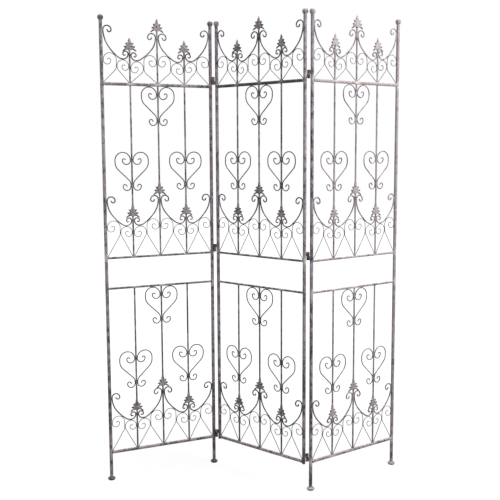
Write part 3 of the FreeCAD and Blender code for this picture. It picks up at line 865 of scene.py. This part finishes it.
class SCREEN_OT_lay_welds(bpy.types.Operator):
    """Lay the weld beads and fillets that hold each panel together"""

    bl_idname = "screen.lay_welds"
    bl_label = "Lay welds"

    def execute(self, context):
        for number, panel in enumerate(PANELS):
            bm = bmesh.new()
            rod_beads(bm, panel)
            rail_collars(bm, panel)
            bmesh.ops.recalc_face_normals(bm, faces=bm.faces)
            paint = aged_paint(f"{panel} weld paint", FADED_AND_LIT[panel]["welds"], number * 2.1 + 0.5)
            new_piece(f"{panel}_weld_beads", bm, f"{panel}_panel", paint)
        return {"FINISHED"}


class SCREEN_OT_blacken_hinges(bpy.types.Operator):
    """Blacken the hinge knuckles and polish their pins"""

    bl_idname = "screen.blacken_hinges"
    bl_label = "Blacken hinges"

    def execute(self, context):
        black = hinge_black("hinge black")
        steel = pin_steel("hinge pin steel")
        for side in ("left", "right"):
            paint_nodes(black, f"{side}_hinge_outer_knuckles", f"{side}_hinge_middle_knuckles")
            paint_nodes(steel, f"{side}_hinge_pins")
        return {"FINISHED"}


class SCREEN_OT_set_stage(bpy.types.Operator):
    """Set the pale floor, the soft lights and the camera"""

    bl_idname = "screen.set_stage"
    bl_label = "Set the stage"

    def execute(self, context):
        lay_floor()
        light_world()
        for light in SOFT_LIGHTS:
            soft_light(*light)
        place_camera()
        return {"FINISHED"}


# Stage: each light's name, place, aim, width and power, and the photograph's camera

SOFT_LIGHTS = (
    ("key_softbox", (1.7, -0.9, 2.0), (0.35, 0, 1.1), 1.0, 50),
    ("fill_softbox", (-1.35, -0.45, 1.3), (-0.57, 0, 1.1), 1.2, 7),
    ("top_softbox", (0.2, -0.4, 3.6), (0, 0, 0), 2.6, 60),
)
CAMERA_PLACE = (-14.3 * MM, -3196.5 * MM, 1293 * MM)
CAMERA_PITCH = math.radians(90 - 6.82)
CAMERA_ROLL = math.radians(-0.26)
SENSOR_WIDTH = 36
FOCAL_SHARE = 829.35 / 500


def seen_straight(tree):
    """One where a ray comes from the camera, a reflection or a clear piece."""
    path = tree.nodes.new("ShaderNodeLightPath")
    total = path.outputs["Is Camera Ray"]
    for name in ("Is Glossy Ray", "Is Transmission Ray"):
        add = tree.nodes.new("ShaderNodeMath")
        add.operation = "ADD"
        add.use_clamp = True
        tree.links.new(total, add.inputs[0])
        tree.links.new(path.outputs[name], add.inputs[1])
        total = add.outputs["Value"]
    return total


def near_object(tree):
    """One round the screen's feet, falling to nothing further out on the floor."""
    place = tree.nodes.new("ShaderNodeTexCoord")
    away = tree.nodes.new("ShaderNodeVectorMath")
    away.operation = "LENGTH"
    tree.links.new(place.outputs["Object"], away.inputs[0])
    fade = tree.nodes.new("ShaderNodeMapRange")
    fade.interpolation_type = "SMOOTHSTEP"
    for name, number in (("From Min", 0.5), ("From Max", 1.5), ("To Min", 1), ("To Max", 0)):
        fade.inputs[name].default_value = number
    tree.links.new(away.outputs["Value"], fade.inputs["Value"])
    return fade.outputs["Result"]


def lay_floor():
    """A matt floor that reads as white, but keeps some of the shadow near the feet."""
    bm = bmesh.new()
    bmesh.ops.create_grid(bm, x_segments=1, y_segments=1, size=14, matrix=Matrix.Translation((0, 0, -0.2 * MM)))
    mesh = bpy.data.meshes.new("studio_floor")
    bm.to_mesh(mesh)
    bm.free()
    floor = bpy.data.objects.new("studio_floor", mesh)
    bpy.context.scene.collection.objects.link(floor)
    material = bpy.data.materials.new("studio floor")
    material.use_nodes = True
    tree = material.node_tree
    tree.nodes.clear()
    matt = tree.nodes.new("ShaderNodeBsdfDiffuse")
    matt.inputs["Color"].default_value = (*colours().floor, 1)
    glow = tree.nodes.new("ShaderNodeEmission")
    glow.inputs["Strength"].default_value = 1.1
    shade = tree.nodes.new("ShaderNodeMath")
    shade.operation = "MULTIPLY_ADD"
    shade.inputs[1].default_value = -0.2
    shade.inputs[2].default_value = 1.0
    tree.links.new(near_object(tree), shade.inputs[0])
    share = tree.nodes.new("ShaderNodeMath")
    share.operation = "MULTIPLY"
    tree.links.new(seen_straight(tree), share.inputs[0])
    tree.links.new(shade.outputs["Value"], share.inputs[1])
    mix = tree.nodes.new("ShaderNodeMixShader")
    tree.links.new(share.outputs["Value"], mix.inputs["Fac"])
    tree.links.new(matt.outputs["BSDF"], mix.inputs[1])
    tree.links.new(glow.outputs["Emission"], mix.inputs[2])
    output = tree.nodes.new("ShaderNodeOutputMaterial")
    tree.links.new(mix.outputs["Shader"], output.inputs["Surface"])
    mesh.materials.append(material)


def light_world():
    world = bpy.data.worlds.new("studio")
    bpy.context.scene.world = world
    world.use_nodes = True
    tree = world.node_tree
    back = tree.nodes["Background"]
    strength = tree.nodes.new("ShaderNodeMapRange")
    strength.inputs["To Min"].default_value = 0.3
    strength.inputs["To Max"].default_value = 1.0
    tree.links.new(seen_straight(tree), strength.inputs["Value"])
    tree.links.new(strength.outputs["Result"], back.inputs["Strength"])
    back.inputs["Color"].default_value = (1, 1, 1, 1)


def soft_light(name, place, aim, width, power):
    lamp = bpy.data.lights.new(name, "AREA")
    lamp.shape = "SQUARE"
    lamp.size = width
    lamp.energy = power
    light = bpy.data.objects.new(name, lamp)
    light.visible_camera = False
    light.location = place
    light.rotation_euler = (Vector(aim) - Vector(place)).to_track_quat("-Z", "Y").to_euler()
    bpy.context.scene.collection.objects.link(light)


def place_camera():
    """Stands the camera where the photograph was taken from."""
    camera = bpy.data.cameras.new("camera")
    camera.sensor_width = SENSOR_WIDTH
    camera.lens = FOCAL_SHARE * SENSOR_WIDTH
    shot = bpy.data.objects.new("camera", camera)
    tilt = Matrix.Rotation(CAMERA_PITCH, 4, "X") @ Matrix.Rotation(CAMERA_ROLL, 4, "Z")
    shot.matrix_world = Matrix.Translation(CAMERA_PLACE) @ tilt
    bpy.context.scene.collection.objects.link(shot)
    bpy.context.scene.camera = shot
    bpy.context.scene.view_settings.view_transform = "Standard"


# Panel and registration

class SCREEN_PT_pieces(bpy.types.Panel):
    """Lists the steps that dress the screen"""

    bl_idname = "SCREEN_PT_pieces"
    bl_label = "Garden Screen"
    bl_space_type = "VIEW_3D"
    bl_region_type = "UI"
    bl_category = "Garden Screen"

    def draw(self, context):
        layout = self.layout
        for operator in OPERATORS:
            layout.operator(operator.bl_idname)
        for group in (context.scene.screen_colours, context.scene.screen_sizes):
            box = layout.box()
            for name in group.__annotations__:
                box.prop(group, name)


OPERATORS = (
    SCREEN_OT_paint_frame,
    SCREEN_OT_paint_bent_rods,
    SCREEN_OT_paint_wire_hearts,
    SCREEN_OT_cast_leaves,
    SCREEN_OT_turn_caps,
    SCREEN_OT_turn_feet,
    SCREEN_OT_lay_welds,
    SCREEN_OT_blacken_hinges,
    SCREEN_OT_set_stage,
)
CLASSES = (ScreenColours, ScreenSizes, *OPERATORS, SCREEN_PT_pieces)


def register():
    for cls in CLASSES:
        bpy.utils.register_class(cls)
    bpy.types.Scene.screen_colours = bpy.props.PointerProperty(type=ScreenColours)
    bpy.types.Scene.screen_sizes = bpy.props.PointerProperty(type=ScreenSizes)


def unregister():
    del bpy.types.Scene.screen_sizes
    del bpy.types.Scene.screen_colours
    for cls in reversed(CLASSES):
        bpy.utils.unregister_class(cls)


def main():
    register()
    bpy.ops.screen.paint_frame()
    bpy.ops.screen.paint_bent_rods()
    bpy.ops.screen.paint_wire_hearts()
    bpy.ops.screen.cast_leaves()
    bpy.ops.screen.turn_caps()
    bpy.ops.screen.turn_feet()
    bpy.ops.screen.lay_welds()
    bpy.ops.screen.blacken_hinges()
    bpy.ops.screen.set_stage()


if __name__ == "__main__":
    main()
